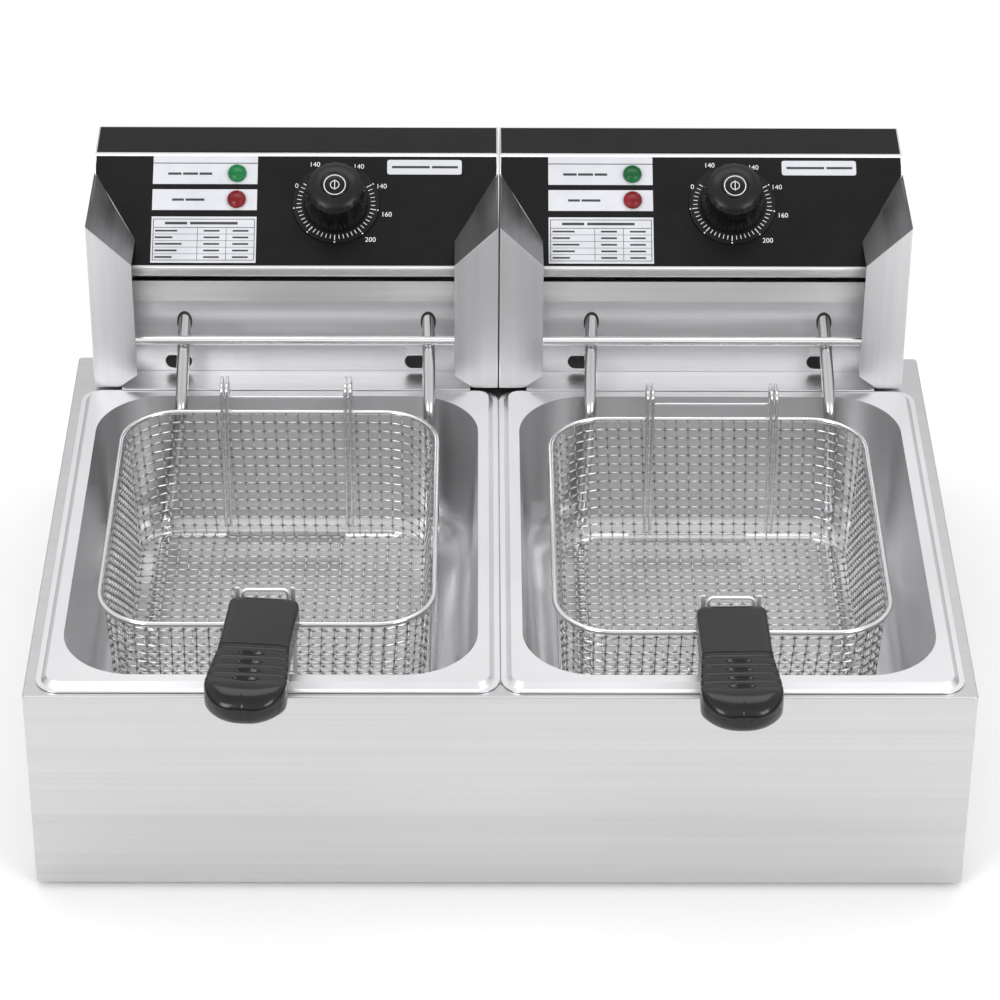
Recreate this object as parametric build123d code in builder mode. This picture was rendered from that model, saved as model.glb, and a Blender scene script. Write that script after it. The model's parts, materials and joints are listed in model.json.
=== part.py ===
from build123d import *

import os
from math import cos, radians, sin, tan

os.makedirs("parts", exist_ok=True)

# A countertop deep fryer with two tanks side by side in one cabinet. X is the width, the front faces -Y, and
# Z = 0 is the surface it stands on. Each side has a lift-out tank, a wire basket with a moulded handle, and a
# lift-off control head that carries the heating element.

# ---------------------------------------------------------------- driving dimensions (mm)
cabinet_width = 544.0
cabinet_depth = 370.0
cabinet_height = 135.0
foot_height = 4.0
front_y = -200.44  # front face of the cabinet
cabinet_sheet = 1.0
sheet = 0.8  # tanks and control heads
gap = 0.3  # clearance between pieces that lift apart

tank_width = 265.0  # a half-size catering pan
tank_length = 325.0
tank_depth = 100.0
tank_opening_width = 240.0
tank_opening_length = 300.0
tank_corner = 42.0
tank_draft = 3.0  # degrees
tank_inset = 3.5  # pan flange behind the cabinet's front face
tank_floor_radius = 17.0

basket_width = 200.0
basket_length = 234.0
basket_corner = 36.0
basket_draft = 3.3  # degrees
rim_wire = 3.4
ring_wire = 2.8
hook_wire = 2.0
hook_spread = 38.75  # from the middle of the hooks to each hook
mesh_thickness = 1.6

head_half_width = 128.7
head_rear = 441.0  # behind the cabinet's front face
wing_face = 325.6
wing_flange = 27.7
wing_top = 122.0  # above the cabinet's top
panel_slope = 36.0  # degrees from horizontal
lip_setback = 342.3
lip_height = 83.0
plate_top = (351.0, 68.5)  # front plate: behind the cabinet's front face, above its top
plate_bend = (347.5, 56.0)
plate_foot = 345.2
panel_length = 79.3
top_rise = 131.4
skirt_drop = 45.0
tube = 8.0  # heating element
rod_diameter = 6.0
cord_radius = 4.0
gland_height = 18.0  # cable gland, below the cabinet's top

dial_radius = 28.0
knob_radius = 20.4
knob_height = 27.6
lamp_radius = 5.9
film = 0.35
label = 0.2
print_seat = 0.02  # film above the panel
gland_neck = 4.8
slot_centers = (-76.0, 77.5)  # from the head's centre
slot_height = 12.5
shaft_radius = 3.0
shaft_hole = 3.6
lamp_neck = 4.6

# ---------------------------------------------------------------- derived places
cabinet_top = foot_height + cabinet_height
cabinet_mid_y = front_y + cabinet_depth / 2
tank_seat = cabinet_top + gap
flange_rise = 3.2
rim_top = tank_seat + sheet + flange_rise
tank_mid_y = front_y + tank_inset + tank_length / 2
tank_spacing = (tank_width + 0.8) / 2
head_floor = rim_top + gap
slope = radians(panel_slope)
element_elbow = (front_y + 303.5, cabinet_top - 0.5)
element_end = (front_y + 356.0, cabinet_top + 51.0)
plate_crossing = front_y + 346.6
fold_setback = lip_setback + panel_length * cos(slope)
fold_height = lip_height + panel_length * sin(slope)
basket_rim_z = cabinet_top + 8.0
basket_floor_z = rim_top - tank_depth + 15.4
basket_taper = (basket_rim_z - basket_floor_z) * tan(radians(basket_draft))

sides = {
    "left": {
        "tank_x": -tank_spacing,
        "head_x": -head_half_width - 0.4,
        "basket_x": -136.9,
        "basket_y": front_y + 175.2,
        "handle_x": -135.5,
        "handle_yaw": -4.3,
        "print_shift": 0.0,
        "tube_x": (-71.2, 84.2),
        "elbow_x": (-72.3, 85.2),
        "foot_x": (-85.0, 87.5),
    },
    "right": {
        "tank_x": tank_spacing,
        "head_x": head_half_width + 0.4,
        "basket_x": 130.5,
        "basket_y": front_y + 167.8,
        "handle_x": 132.5,
        "handle_yaw": 1.4,
        "print_shift": -6.5,
        "tube_x": (-69.8, 78.7),
        "elbow_x": (-70.9, 81.6),
        "foot_x": (-76.0, 84.5),
    },
}


def behind(setback):
    """Model Y of a point this far behind the cabinet's front face."""
    return front_y + setback


def above(height):
    """Model Z of a point this far above the cabinet's top."""
    return cabinet_top + height


def save(piece, name):
    piece.part.label = name
    export_step(piece.part, f"parts/{name}.step")


def cross_section(x):
    """Plane with Y to the right and Z up, at this X."""
    return Plane(origin=(x, 0, 0), x_dir=(0, 1, 0), z_dir=(1, 0, 0))


def panel_plane(head_x, lift):
    """Plane of the sloped panel: X across from the head's centre, Y up the slope from the fold."""
    normal = Vector(0, -sin(slope), cos(slope))
    origin = Vector(head_x, behind(fold_setback), above(fold_height)) + normal * lift
    return Plane(origin=origin, x_dir=(1, 0, 0), z_dir=normal)


# ---------------------------------------------------------------- cabinet
def make_cabinet():
    inner_width = cabinet_width - 2 * cabinet_sheet
    inner_depth = cabinet_depth - 2 * cabinet_sheet
    mouth_front = 12.0
    mouth_rear = 320.0
    with BuildPart() as cabinet_shell:
        with BuildSketch(Plane.XY.offset(foot_height)):
            with Locations((0, cabinet_mid_y)):
                RectangleRounded(cabinet_width, cabinet_depth, 2.5)
        extrude(amount=cabinet_height)
        top_edges = cabinet_shell.faces().sort_by(Axis.Z)[-1].edges()
        fillet(top_edges, radius=0.9)
        with BuildSketch(Plane.XY.offset(foot_height)):
            with Locations((0, cabinet_mid_y)):
                RectangleRounded(inner_width, inner_depth, 1.5)
        extrude(amount=cabinet_height - cabinet_sheet, mode=Mode.SUBTRACT)
        with BuildSketch(Plane.XY.offset(cabinet_top - cabinet_sheet)):
            with Locations((0, behind((mouth_front + mouth_rear) / 2))):
                Rectangle(cabinet_width - 24.0, mouth_rear - mouth_front)
        extrude(amount=cabinet_sheet, mode=Mode.SUBTRACT)
    save(cabinet_shell, "cabinet_shell")

    feet = [(x, y) for x in (-245.0, 245.0) for y in (behind(28.0), behind(cabinet_depth - 28.0))]
    foot_radius = 11.0
    screw_radius = 1.9
    with BuildPart() as cabinet_base:
        with BuildSketch(Plane.XY.offset(foot_height)):
            with Locations((0, cabinet_mid_y)):
                RectangleRounded(inner_width, inner_depth, 1.5)
            with Locations(*feet):
                Circle(screw_radius, mode=Mode.SUBTRACT)
            with Locations((0, cabinet_mid_y)):
                with GridLocations(tank_spacing * 2, 24.0, 2, 6):
                    SlotOverall(90.0, 5.0, mode=Mode.SUBTRACT)
        extrude(amount=cabinet_sheet)
    save(cabinet_base, "cabinet_base")

    rail_width = 18.0
    rail_depth = 24.0
    with BuildPart() as centre_rail:
        with BuildSketch(Plane.XZ.offset(-behind(cabinet_sheet))):
            with Locations((0, cabinet_top - cabinet_sheet - rail_depth / 2)):
                Rectangle(rail_width, rail_depth)
            with Locations((0, cabinet_top - 2 * cabinet_sheet - rail_depth / 2)):
                Rectangle(rail_width - 2 * cabinet_sheet, rail_depth, mode=Mode.SUBTRACT)
        extrude(amount=-inner_depth)
    save(centre_rail, "centre_rail")

    with BuildPart() as rubber_feet:
        for foot in feet:
            with BuildSketch(Plane.XY):
                with Locations(foot):
                    Circle(foot_radius)
            extrude(amount=foot_height, taper=6)
        with BuildSketch(Plane.XY.offset(foot_height)):
            with Locations(*feet):
                Circle(screw_radius)
        extrude(amount=-2.5, mode=Mode.SUBTRACT)
    save(rubber_feet, "rubber_feet")

    with BuildPart() as foot_screws:
        with BuildSketch(Plane.XY.offset(foot_height - 2.5)):
            with Locations(*feet):
                Circle(screw_radius)
        extrude(amount=2.5 + cabinet_sheet)
        with BuildSketch(Plane.XY.offset(foot_height + cabinet_sheet)):
            with Locations(*feet):
                Circle(3.6)
        extrude(amount=2.2)
    save(foot_screws, "foot_screws")


# ---------------------------------------------------------------- tank
def make_tank(side, place):
    center = (place["tank_x"], tank_mid_y)
    lip_width = 3.0
    lip_corner = 13.0
    bevel_angle = 42
    bevel_width = tank_width - 2 * lip_width
    bevel_length = tank_length - 2 * lip_width
    wall_height = tank_depth - sheet
    with BuildPart() as hollow:
        with BuildSketch(Plane.XY.offset(rim_top)):
            with Locations(center):
                RectangleRounded(tank_opening_width, tank_opening_length, tank_corner)
        extrude(amount=-wall_height, taper=tank_draft)
        fillet(hollow.faces().sort_by(Axis.Z)[0].edges(), radius=tank_floor_radius)
    with BuildPart() as tank:
        with BuildSketch(Plane.XY.offset(tank_seat)):
            with Locations(center):
                RectangleRounded(tank_width, tank_length, lip_corner)
        extrude(amount=sheet)
        with BuildSketch(Plane.XY.offset(tank_seat + sheet)):
            with Locations(center):
                RectangleRounded(bevel_width, bevel_length, lip_corner - lip_width)
        extrude(amount=flange_rise, taper=bevel_angle)
        with BuildSketch(Plane.XY.offset(tank_seat)):
            with Locations(center):
                RectangleRounded(bevel_width - 1.4, bevel_length - 1.4, lip_corner - lip_width - 0.7)
        extrude(amount=flange_rise, taper=bevel_angle, mode=Mode.SUBTRACT)
        with BuildSketch(Plane.XY.offset(rim_top)):
            with Locations(center):
                RectangleRounded(
                    tank_opening_width + 2 * sheet, tank_opening_length + 2 * sheet, tank_corner + sheet
                )
        extrude(amount=-tank_depth, taper=tank_draft)
        fillet(tank.faces().sort_by(Axis.Z)[0].edges(), radius=tank_floor_radius + sheet)
        add(hollow.part, mode=Mode.SUBTRACT)
    save(tank, f"{side}_tank")


# ---------------------------------------------------------------- basket and handle
def basket_outline(grow, corner_grow=0.0):
    RectangleRounded(basket_width + 2 * grow, basket_length + 2 * grow, basket_corner + corner_grow)


def make_basket(side, place):
    center = (place["basket_x"], place["basket_y"])
    wall_height = basket_rim_z - basket_floor_z
    with BuildPart() as basket_mesh:
        with BuildSketch(Plane.XY.offset(basket_rim_z)):
            with Locations(center):
                basket_outline(-rim_wire - 0.05, -rim_wire)
        extrude(amount=-wall_height, taper=basket_draft)
        with BuildSketch(Plane.XY.offset(basket_rim_z)):
            with Locations(center):
                basket_outline(-rim_wire - mesh_thickness, -rim_wire - mesh_thickness)
        extrude(amount=-wall_height + mesh_thickness, taper=basket_draft, mode=Mode.SUBTRACT)
    save(basket_mesh, f"{side}_basket_mesh")

    hooks_x = place["basket_x"] + 3.25
    rear_y = place["basket_y"] + basket_length / 2 - rim_wire / 2
    leg_y = rear_y - rim_wire / 2 - mesh_thickness - hook_wire / 2 - 1.4
    leg_bottom_y = leg_y - basket_taper
    leg_bottom_z = basket_floor_z + 9.0
    crest_z = above(29.5)
    tip_y = rear_y + 10.5
    tip_z = above(12.0)
    half_loop = 1.6
    hang_bend = 5.5
    tip_bend = 1.5
    ring_grow = -rim_wire - basket_taper + ring_wire / 2 + 0.1
    rings = (
        (basket_rim_z, -rim_wire / 2, rim_wire),
        (basket_floor_z + ring_wire / 2, ring_grow, ring_wire),
    )
    with BuildPart() as basket_frame:
        for ring_z, grow, wire in rings:
            with BuildSketch(Plane.XY.offset(ring_z), mode=Mode.PRIVATE) as ring_sketch:
                with Locations(center):
                    basket_outline(grow, grow)
            ring_path = ring_sketch.sketch.face().outer_wire()
            with BuildSketch(Plane(origin=ring_path @ 0, z_dir=ring_path % 0)):
                Circle(wire / 2)
            sweep(path=ring_path)
        for hook_x in (hooks_x - hook_spread, hooks_x + hook_spread):
            with BuildLine() as hook_line:
                FilletPolyline(
                    (hook_x - half_loop, leg_bottom_y, leg_bottom_z),
                    (hook_x - half_loop, leg_y, crest_z),
                    (hook_x - half_loop, tip_y, crest_z),
                    (hook_x - half_loop, tip_y, tip_z),
                    (hook_x + half_loop, tip_y, tip_z),
                    (hook_x + half_loop, tip_y, crest_z),
                    (hook_x + half_loop, leg_y, crest_z),
                    (hook_x + half_loop, leg_bottom_y, leg_bottom_z),
                    radius=[hang_bend, hang_bend, tip_bend, tip_bend, hang_bend, hang_bend],
                )
            hook_path = hook_line.wires()[0]
            with BuildSketch(Plane(origin=hook_path @ 0, z_dir=hook_path % 0)):
                Circle(hook_wire / 2)
            sweep(path=hook_path)
        cross_plane = Plane.YZ.offset(hooks_x - hook_spread)
        with BuildSketch(cross_plane):
            with Locations((tip_y, tip_z + 0.6)):
                Circle(hook_wire / 2)
        extrude(amount=2 * hook_spread)
    save(basket_frame, f"{side}_basket_frame")


def make_handle(side, place):
    front_wall = place["basket_y"] - basket_length / 2
    handle_x = place["handle_x"]
    yaw = radians(place["handle_yaw"])
    strap_width = 2.6
    strap_thickness = 1.5
    strap_x = 16.0
    strap_top = above(36.0)
    strap_bottom = above(-24.0)
    loop_wire = 2.2
    loop_x = 13.0
    loop_top = above(34.5)
    grip_width = 40.0
    grip_end_width = 44.6
    grip_length = 100.0
    grip_thickness = 21.0
    grip_z = above(11.0)
    tongue_width = 16.0
    tongue_reach = 42.0
    tongue_thickness = 2.0
    tongue_z = grip_z + grip_thickness / 2
    wall_y = front_wall - strap_thickness / 2 - 0.2
    tongue_place = (handle_x, wall_y - tongue_reach / 2)
    with BuildPart() as handle_bracket:
        with BuildSketch(Plane.XZ.offset(-wall_y)):
            with Locations((handle_x, (strap_top + strap_bottom) / 2)):
                with GridLocations(2 * strap_x, 1, 2, 1):
                    Rectangle(strap_width, strap_top - strap_bottom)
            with Locations((handle_x, tongue_z)):
                Rectangle(2 * strap_x, 6.0)
        extrude(amount=strap_thickness / 2, both=True)
        with BuildSketch(Plane.XY.offset(tongue_z - tongue_thickness / 2)):
            with Locations(tongue_place):
                Rectangle(tongue_width, tongue_reach)
        extrude(amount=tongue_thickness)
        with BuildLine() as loop_line:
            FilletPolyline(
                (handle_x - loop_x, wall_y, tongue_z),
                (handle_x - loop_x, wall_y, loop_top),
                (handle_x + loop_x, wall_y, loop_top),
                (handle_x + loop_x, wall_y, tongue_z),
                radius=3.0,
            )
        loop_path = loop_line.wires()[0]
        with BuildSketch(Plane(origin=loop_path @ 0, z_dir=loop_path % 0)):
            Circle(loop_wire / 2)
        sweep(path=loop_path)
    save(handle_bracket, f"{side}_handle_bracket")

    grip_back = wall_y - strap_thickness / 2 - 2 * gap - abs(sin(yaw)) * grip_width / 2
    base = Plane(
        origin=(handle_x, grip_back, grip_z),
        x_dir=(cos(yaw), sin(yaw), 0),
        z_dir=(0, 0, 1),
    )
    with BuildPart() as handle_grip:
        with BuildSketch(base):
            with BuildLine():
                Polyline(
                    (-grip_width / 2, 0),
                    (grip_width / 2, 0),
                    (grip_width / 2, -grip_length * 0.42),
                    (grip_end_width / 2, -grip_length * 0.74),
                    (grip_end_width / 2 - 2, -grip_length),
                    (2 - grip_end_width / 2, -grip_length),
                    (-grip_end_width / 2, -grip_length * 0.74),
                    (-grip_width / 2, -grip_length * 0.42),
                    close=True,
                )
            make_face()
        extrude(amount=grip_thickness)
        fillet(handle_grip.edges().filter_by(Axis.Z).group_by(Axis.Y)[0], radius=15.0)
        fillet(handle_grip.faces().sort_by(Axis.Z)[-1].edges(), radius=5.0)
        fillet(handle_grip.faces().sort_by(Axis.Z)[0].edges(), radius=3.5)
        with BuildSketch(base.offset(grip_thickness)):
            for step in range(4):
                with Locations((0, -grip_length * 0.52 - step * 9.0)):
                    Ellipse(8.0, 2.4)
        extrude(amount=-1.2, mode=Mode.SUBTRACT)
        with BuildSketch(Plane.XY.offset(tongue_z - tongue_thickness / 2)):
            with Locations(tongue_place):
                Rectangle(tongue_width, tongue_reach)
        extrude(amount=tongue_thickness, mode=Mode.SUBTRACT)
    save(handle_grip, f"{side}_handle_grip")


# ---------------------------------------------------------------- control head
def cheek(head_x, direction):
    """One folded side of a head: side plate, front flange and the sloping fold between them and the panel."""
    outer = head_x + direction * head_half_width
    inner = outer - direction * wing_flange
    panel_front = wing_top - wing_flange
    film_clearance = 0.9
    fold_back = behind(lip_setback + (wing_top - lip_height) / tan(slope))
    with BuildPart() as piece:
        with BuildSketch(cross_section(outer)):
            with BuildLine():
                Polyline(
                    (behind(wing_face), head_floor),
                    (behind(wing_face), above(wing_top)),
                    (fold_back, above(wing_top)),
                    (behind(fold_setback), above(fold_height)),
                    (behind(head_rear), above(top_rise)),
                    (behind(head_rear), cabinet_top - skirt_drop),
                    (behind(cabinet_depth + 1.4), cabinet_top - skirt_drop),
                    (behind(cabinet_depth + 1.4), head_floor),
                    close=True,
                )
            make_face()
        extrude(amount=-direction * sheet)
        with BuildSketch(Plane.XZ.offset(-behind(wing_face))):
            with BuildLine():
                Polyline(
                    (outer, head_floor),
                    (outer, above(wing_top)),
                    (inner, above(panel_front)),
                    (inner, head_floor + 9.0),
                    (inner + direction * 12.0, head_floor),
                    close=True,
                )
            make_face()
        extrude(amount=-sheet)
        with BuildSketch(Plane.XZ.offset(-behind(wing_face))):
            with BuildLine():
                Polyline(
                    (outer, above(wing_top)),
                    (inner, above(panel_front)),
                    (inner, above(panel_front) - sheet * 1.4),
                    (outer, above(wing_top) - sheet * 1.4),
                    close=True,
                )
            make_face()
        extrude(amount=-80.0)
        with BuildSketch(cross_section(head_x - direction * head_half_width)):
            with BuildLine():
                Polyline(
                    (behind(lip_setback) - film_clearance, above(lip_height)),
                    (behind(lip_setback) - film_clearance, head_floor),
                    (behind(fold_setback) - film_clearance, head_floor),
                    (behind(fold_setback) - film_clearance, above(fold_height)),
                    close=True,
                )
            make_face()
        extrude(amount=direction * (2 * head_half_width - sheet), mode=Mode.SUBTRACT)
    return piece


def bent_sheet(points, bend, head_x, half_width):
    """A sheet of the head bent along these points of its cross section."""
    with BuildPart() as piece:
        with BuildSketch(cross_section(head_x - half_width)):
            with BuildLine() as outline:
                FilletPolyline(*points, radius=bend)
            trace(line_width=sheet)
        extrude(amount=2 * half_width)
    return piece


def make_head_sheets(side, place):
    head_x = place["head_x"]
    half_width = head_half_width - sheet
    for name, direction in (("left_cheek", -1), ("right_cheek", 1)):
        piece = cheek(head_x, direction)
        save(piece, f"{side}_head_{name}")

    half_sheet = sheet / 2
    back_points = [
        (behind(wing_face + 1.2), head_floor + half_sheet),
        (behind(cabinet_depth + 1.4 + half_sheet), head_floor + half_sheet),
        (behind(cabinet_depth + 1.4 + half_sheet), cabinet_top - skirt_drop + half_sheet),
        (behind(head_rear) - half_sheet, cabinet_top - skirt_drop + half_sheet),
        (behind(head_rear) - half_sheet, above(top_rise) - 3 * sheet),
    ]
    back_cover = bent_sheet(back_points, 1.2, head_x, half_width)
    ledge_front = 322.4
    ledge_rear = wing_face + 2.0
    ledge_half_width = 111.0
    with BuildPart(mode=Mode.PRIVATE) as drilled:
        add(back_cover.part)
        with BuildSketch(Plane.XY.offset(head_floor)):
            with Locations((head_x, behind((ledge_front + ledge_rear) / 2))):
                Rectangle(2 * ledge_half_width, ledge_rear - ledge_front)
        extrude(amount=sheet)
        gland_plane = Plane.XZ.offset(-behind(head_rear) - 1.0)
        with BuildSketch(gland_plane):
            with Locations((head_x, cabinet_top - gland_height)):
                Circle(2 * cord_radius)
        extrude(amount=3.0, both=True, mode=Mode.SUBTRACT)
    save(drilled, f"{side}_head_back_cover")

    plate_points = [
        (behind(plate_top[0]), above(plate_top[1])),
        (behind(plate_bend[0]), above(plate_bend[1])),
        (behind(plate_foot), head_floor + sheet + 0.1),
    ]
    front_plate = bent_sheet(plate_points, 2.0, head_x, half_width)
    with BuildPart(mode=Mode.PRIVATE) as pierced:
        add(front_plate.part)
        for index in (0, 1):
            with BuildSketch(tube_plane(place, index)):
                Circle(gland_neck + 0.02)
            extrude(amount=20.0, both=True, mode=Mode.SUBTRACT)
        with BuildSketch(Plane.XZ.offset(-behind(340.0))):
            with Locations(*[(head_x + x, above(slot_height)) for x in slot_centers]):
                SlotOverall(17.0, 10.0)
        extrude(amount=-16.0, mode=Mode.SUBTRACT)
    save(pierced, f"{side}_head_front_plate")

    sloped_shift = half_sheet / cos(slope)
    panel_points = [
        (behind(lip_setback + 4.0), above(lip_height - 6.5)),
        (behind(lip_setback + half_sheet), above(lip_height - 6.5)),
        (behind(lip_setback + half_sheet), above(lip_height + half_sheet * tan(slope)) - sloped_shift),
        (behind(fold_setback), above(fold_height) - sloped_shift),
        (behind(head_rear), above(top_rise) - sloped_shift),
    ]
    panel = bent_sheet(panel_points, [1.6, 2.4, 1.5], head_x, half_width)
    with BuildPart(mode=Mode.PRIVATE) as panel_holes:
        add(panel.part)
        with BuildSketch(panel_plane(head_x, 6.0)):
            with Locations(knob_center(place)):
                Circle(shaft_hole)
            with Locations(*lamp_centers(place)):
                Circle(lamp_neck)
        extrude(amount=-12.0, mode=Mode.SUBTRACT)
    save(panel_holes, f"{side}_head_panel")


def tube_lean(place, index):
    """How far the element's sloping tube moves in X for each mm towards the rear."""
    return (place["tube_x"][index] - place["elbow_x"][index]) / (plate_crossing - element_elbow[0])


def tube_plane(place, index):
    """Plane across the element's sloping tube, where it passes the front plate."""
    rise = (element_end[1] - element_elbow[1]) / (element_end[0] - element_elbow[0])
    height = element_elbow[1] + (plate_crossing - element_elbow[0]) * rise
    return Plane(
        origin=(place["head_x"] + place["tube_x"][index], plate_crossing, height),
        x_dir=(1, 0, 0),
        z_dir=(tube_lean(place, index), 1, rise),
    )


def knob_center(place):
    return (25.8 + place["print_shift"], -35.0)


def lamp_centers(place):
    shift = place["print_shift"]
    return [(-37.5 + shift, -14.0), (-37.5 + shift, -32.2)]


def make_panel_print(side, place):
    head_x = place["head_x"]
    film_half_width = head_half_width - sheet - 0.3
    with BuildPart() as panel_film:
        with BuildSketch(panel_plane(head_x, print_seat)):
            with Locations((0, -panel_length / 2 + 0.1)):
                Rectangle(2 * film_half_width, panel_length - 3.4)
            with Locations(knob_center(place)):
                Circle(shaft_hole, mode=Mode.SUBTRACT)
            with Locations(*lamp_centers(place)):
                Circle(lamp_neck, mode=Mode.SUBTRACT)
        extrude(amount=film)
        top_length = head_rear - fold_setback
        top_angle = (top_rise - fold_height) / top_length
        top_plane = Plane(
            origin=(head_x, behind(fold_setback + 2.0), above(fold_height) + 2.0 * top_angle + print_seat),
            x_dir=(1, 0, 0),
            z_dir=(0, -top_angle, 1),
        )
        with BuildSketch(top_plane):
            with Locations((0, (top_length - 3.0) / 2)):
                Rectangle(2 * film_half_width, top_length - 4.5)
        extrude(amount=film)
    save(panel_film, f"{side}_panel_film")

    shift = place["print_shift"]
    with BuildPart() as panel_labels:
        with BuildSketch(panel_plane(head_x, print_seat + film)):
            with Locations((-57.8 + shift, -4.0)):
                Rectangle(66.5, 4.6)
            with Locations((-57.8 + shift, -14.0), (-57.8 + shift, -32.2)):
                Rectangle(66.5, 14.5)
            with Locations((-57.8 + shift, -60.0)):
                Rectangle(66.5, 32.0)
            with Locations((81.7 + shift, -9.1)):
                RectangleRounded(47.5, 10.2, 1.5)
            with Locations(*lamp_centers(place)):
                Circle(lamp_neck, mode=Mode.SUBTRACT)
        extrude(amount=label)
    save(panel_labels, f"{side}_panel_labels")

    lens_base = print_seat + film + label
    body_top = -sheet - 0.2
    for index, color in enumerate(("green", "red")):
        lamp_place = lamp_centers(place)[index]
        with BuildPart() as lamp:
            with BuildSketch(panel_plane(head_x, body_top)):
                with Locations(lamp_place):
                    Circle(lamp_neck - 0.1)
            extrude(amount=lens_base - body_top)
            with BuildSketch(panel_plane(head_x, lens_base)):
                with Locations(lamp_place):
                    Circle(lamp_radius)
            extrude(amount=3.0)
            front_face = lamp.faces().sort_by(Axis((0, 0, 0), (0, -sin(slope), cos(slope))))[-1]
            fillet(front_face.edges(), radius=2.2)
        save(lamp, f"{side}_{color}_lamp")
    with BuildPart() as lamp_bodies:
        with BuildSketch(panel_plane(head_x, body_top)):
            with Locations(*lamp_centers(place)):
                Circle(6.5)
        extrude(amount=-20.0)
    save(lamp_bodies, f"{side}_lamp_bodies")


def make_knob(side, place):
    head_x = place["head_x"]
    center = knob_center(place)
    ring_base = print_seat + film
    ring_height = 1.4
    knob_base = ring_base + ring_height + gap
    with BuildPart() as dial_ring:
        with BuildSketch(panel_plane(head_x, ring_base)):
            with Locations(center):
                Circle(dial_radius)
                Circle(shaft_hole, mode=Mode.SUBTRACT)
        extrude(amount=ring_height, taper=20)
    save(dial_ring, f"{side}_dial_ring")

    body_front = -10.0
    shaft_end = knob_base + 9.0
    with BuildPart() as thermostat_body:
        with BuildSketch(panel_plane(head_x, body_front)):
            with Locations(center):
                RectangleRounded(34.0, 30.0, 3.0)
                Circle(shaft_radius + 0.05, mode=Mode.SUBTRACT)
        extrude(amount=-20.0)
    save(thermostat_body, f"{side}_thermostat_body")

    with BuildPart() as thermostat_shaft:
        with BuildSketch(panel_plane(head_x, body_front - 14.0)):
            with Locations(center):
                Circle(shaft_radius)
        extrude(amount=14.0 - body_front + shaft_end)
    save(thermostat_shaft, f"{side}_thermostat_shaft")

    cap_radius = 8.5
    cap_height = 1.2
    dome_height = 3.8
    skirt = knob_height - dome_height - cap_height
    skirt_taper = 6.2  # degrees
    dome_radius = knob_radius - 2.6
    with BuildPart() as knob:
        with BuildSketch(panel_plane(head_x, knob_base)):
            with Locations(center):
                Circle(knob_radius)
        extrude(amount=skirt, taper=skirt_taper)
        with BuildSketch(panel_plane(head_x, knob_base + skirt)):
            with Locations(center):
                Circle(dome_radius)
        extrude(amount=dome_height, taper=50)
        with BuildSketch(panel_plane(head_x, knob_base)):
            with Locations(center):
                Circle(shaft_radius)
        extrude(amount=9.0, mode=Mode.SUBTRACT)
    save(knob, f"{side}_knob")

    with BuildPart() as knob_cap:
        with BuildSketch(panel_plane(head_x, knob_base + knob_height - cap_height)):
            with Locations(center):
                Circle(cap_radius)
        extrude(amount=cap_height)
        front_face = knob_cap.faces().sort_by(Axis((0, 0, 0), (0, -sin(slope), cos(slope))))[-1]
        fillet(front_face.edges(), radius=0.9)
    save(knob_cap, f"{side}_knob_cap")


def make_heating(side, place):
    head_x = place["head_x"]
    left_end, right_end = [
        head_x + place["tube_x"][index] + tube_lean(place, index) * (element_end[0] - plate_crossing)
        for index in (0, 1)
    ]
    left_elbow, right_elbow = [head_x + x for x in place["elbow_x"]]
    left_foot, right_foot = [head_x + x for x in place["foot_x"]]
    floor_z = basket_floor_z - tube / 2 - 0.4
    front_run = tank_mid_y - 101.0
    leg_y = behind(300.5)
    points = [
        (left_end, *element_end),
        (left_elbow, *element_elbow),
        (left_foot, leg_y, floor_z),
        (left_foot, front_run, floor_z),
        (right_foot, front_run, floor_z),
        (right_foot, leg_y, floor_z),
        (right_elbow, *element_elbow),
        (right_end, *element_end),
    ]
    bends = [18.0, 15.0, 22.0, 22.0, 15.0, 18.0]
    with BuildPart() as heating_element:
        with BuildLine() as element_line:
            FilletPolyline(*points, radius=bends)
        element_path = element_line.wires()[0]
        with BuildSketch(Plane(origin=element_path @ 0, z_dir=element_path % 0)):
            Circle(tube / 2)
        sweep(path=element_path)
    save(heating_element, f"{side}_heating_element")

    seat_front = plate_foot - sheet / 2 - 0.7
    seat_thickness = sheet + 1.6
    plate_lean = plate_bend[0] - plate_foot
    with BuildPart() as element_glands:
        for index in (0, 1):
            with BuildSketch(tube_plane(place, index)):
                Circle(gland_neck)
                Circle(tube / 2, mode=Mode.SUBTRACT)
            extrude(amount=14.0, both=True)
        with BuildSketch(cross_section(head_x - head_half_width)):
            with BuildLine():
                Polyline(
                    (behind(seat_front), head_floor + sheet),
                    (behind(seat_front + plate_lean), above(plate_bend[1])),
                    (behind(seat_front + plate_lean + seat_thickness), above(plate_bend[1])),
                    (behind(seat_front + seat_thickness), head_floor + sheet),
                    close=True,
                )
            make_face()
        extrude(amount=2 * head_half_width, mode=Mode.INTERSECT)
    save(element_glands, f"{side}_element_glands")

    rod_half = head_half_width - sheet
    with BuildPart() as hanging_rod:
        with BuildSketch(cross_section(head_x - rod_half)):
            with Locations((behind(330.0), above(37.0))):
                Circle(rod_diameter / 2)
        extrude(amount=2 * rod_half)
    save(hanging_rod, f"{side}_hanging_rod")

    bulb_radius = 2.8
    bulb_length = 76.0
    capillary_radius = 1.2
    bulb_start = head_x - 45.0
    capillary_start = left_foot + tube / 2 + 0.05
    bulb_place = (behind(286.5), floor_z)
    with BuildPart() as sensor_bulb:
        with BuildSketch(cross_section(bulb_start)):
            with Locations(bulb_place):
                Circle(bulb_radius)
        extrude(amount=bulb_length)
        with BuildSketch(cross_section(capillary_start)):
            with Locations(bulb_place):
                Circle(capillary_radius)
        extrude(amount=bulb_start - capillary_start)
    save(sensor_bulb, f"{side}_sensor_bulb")


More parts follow.
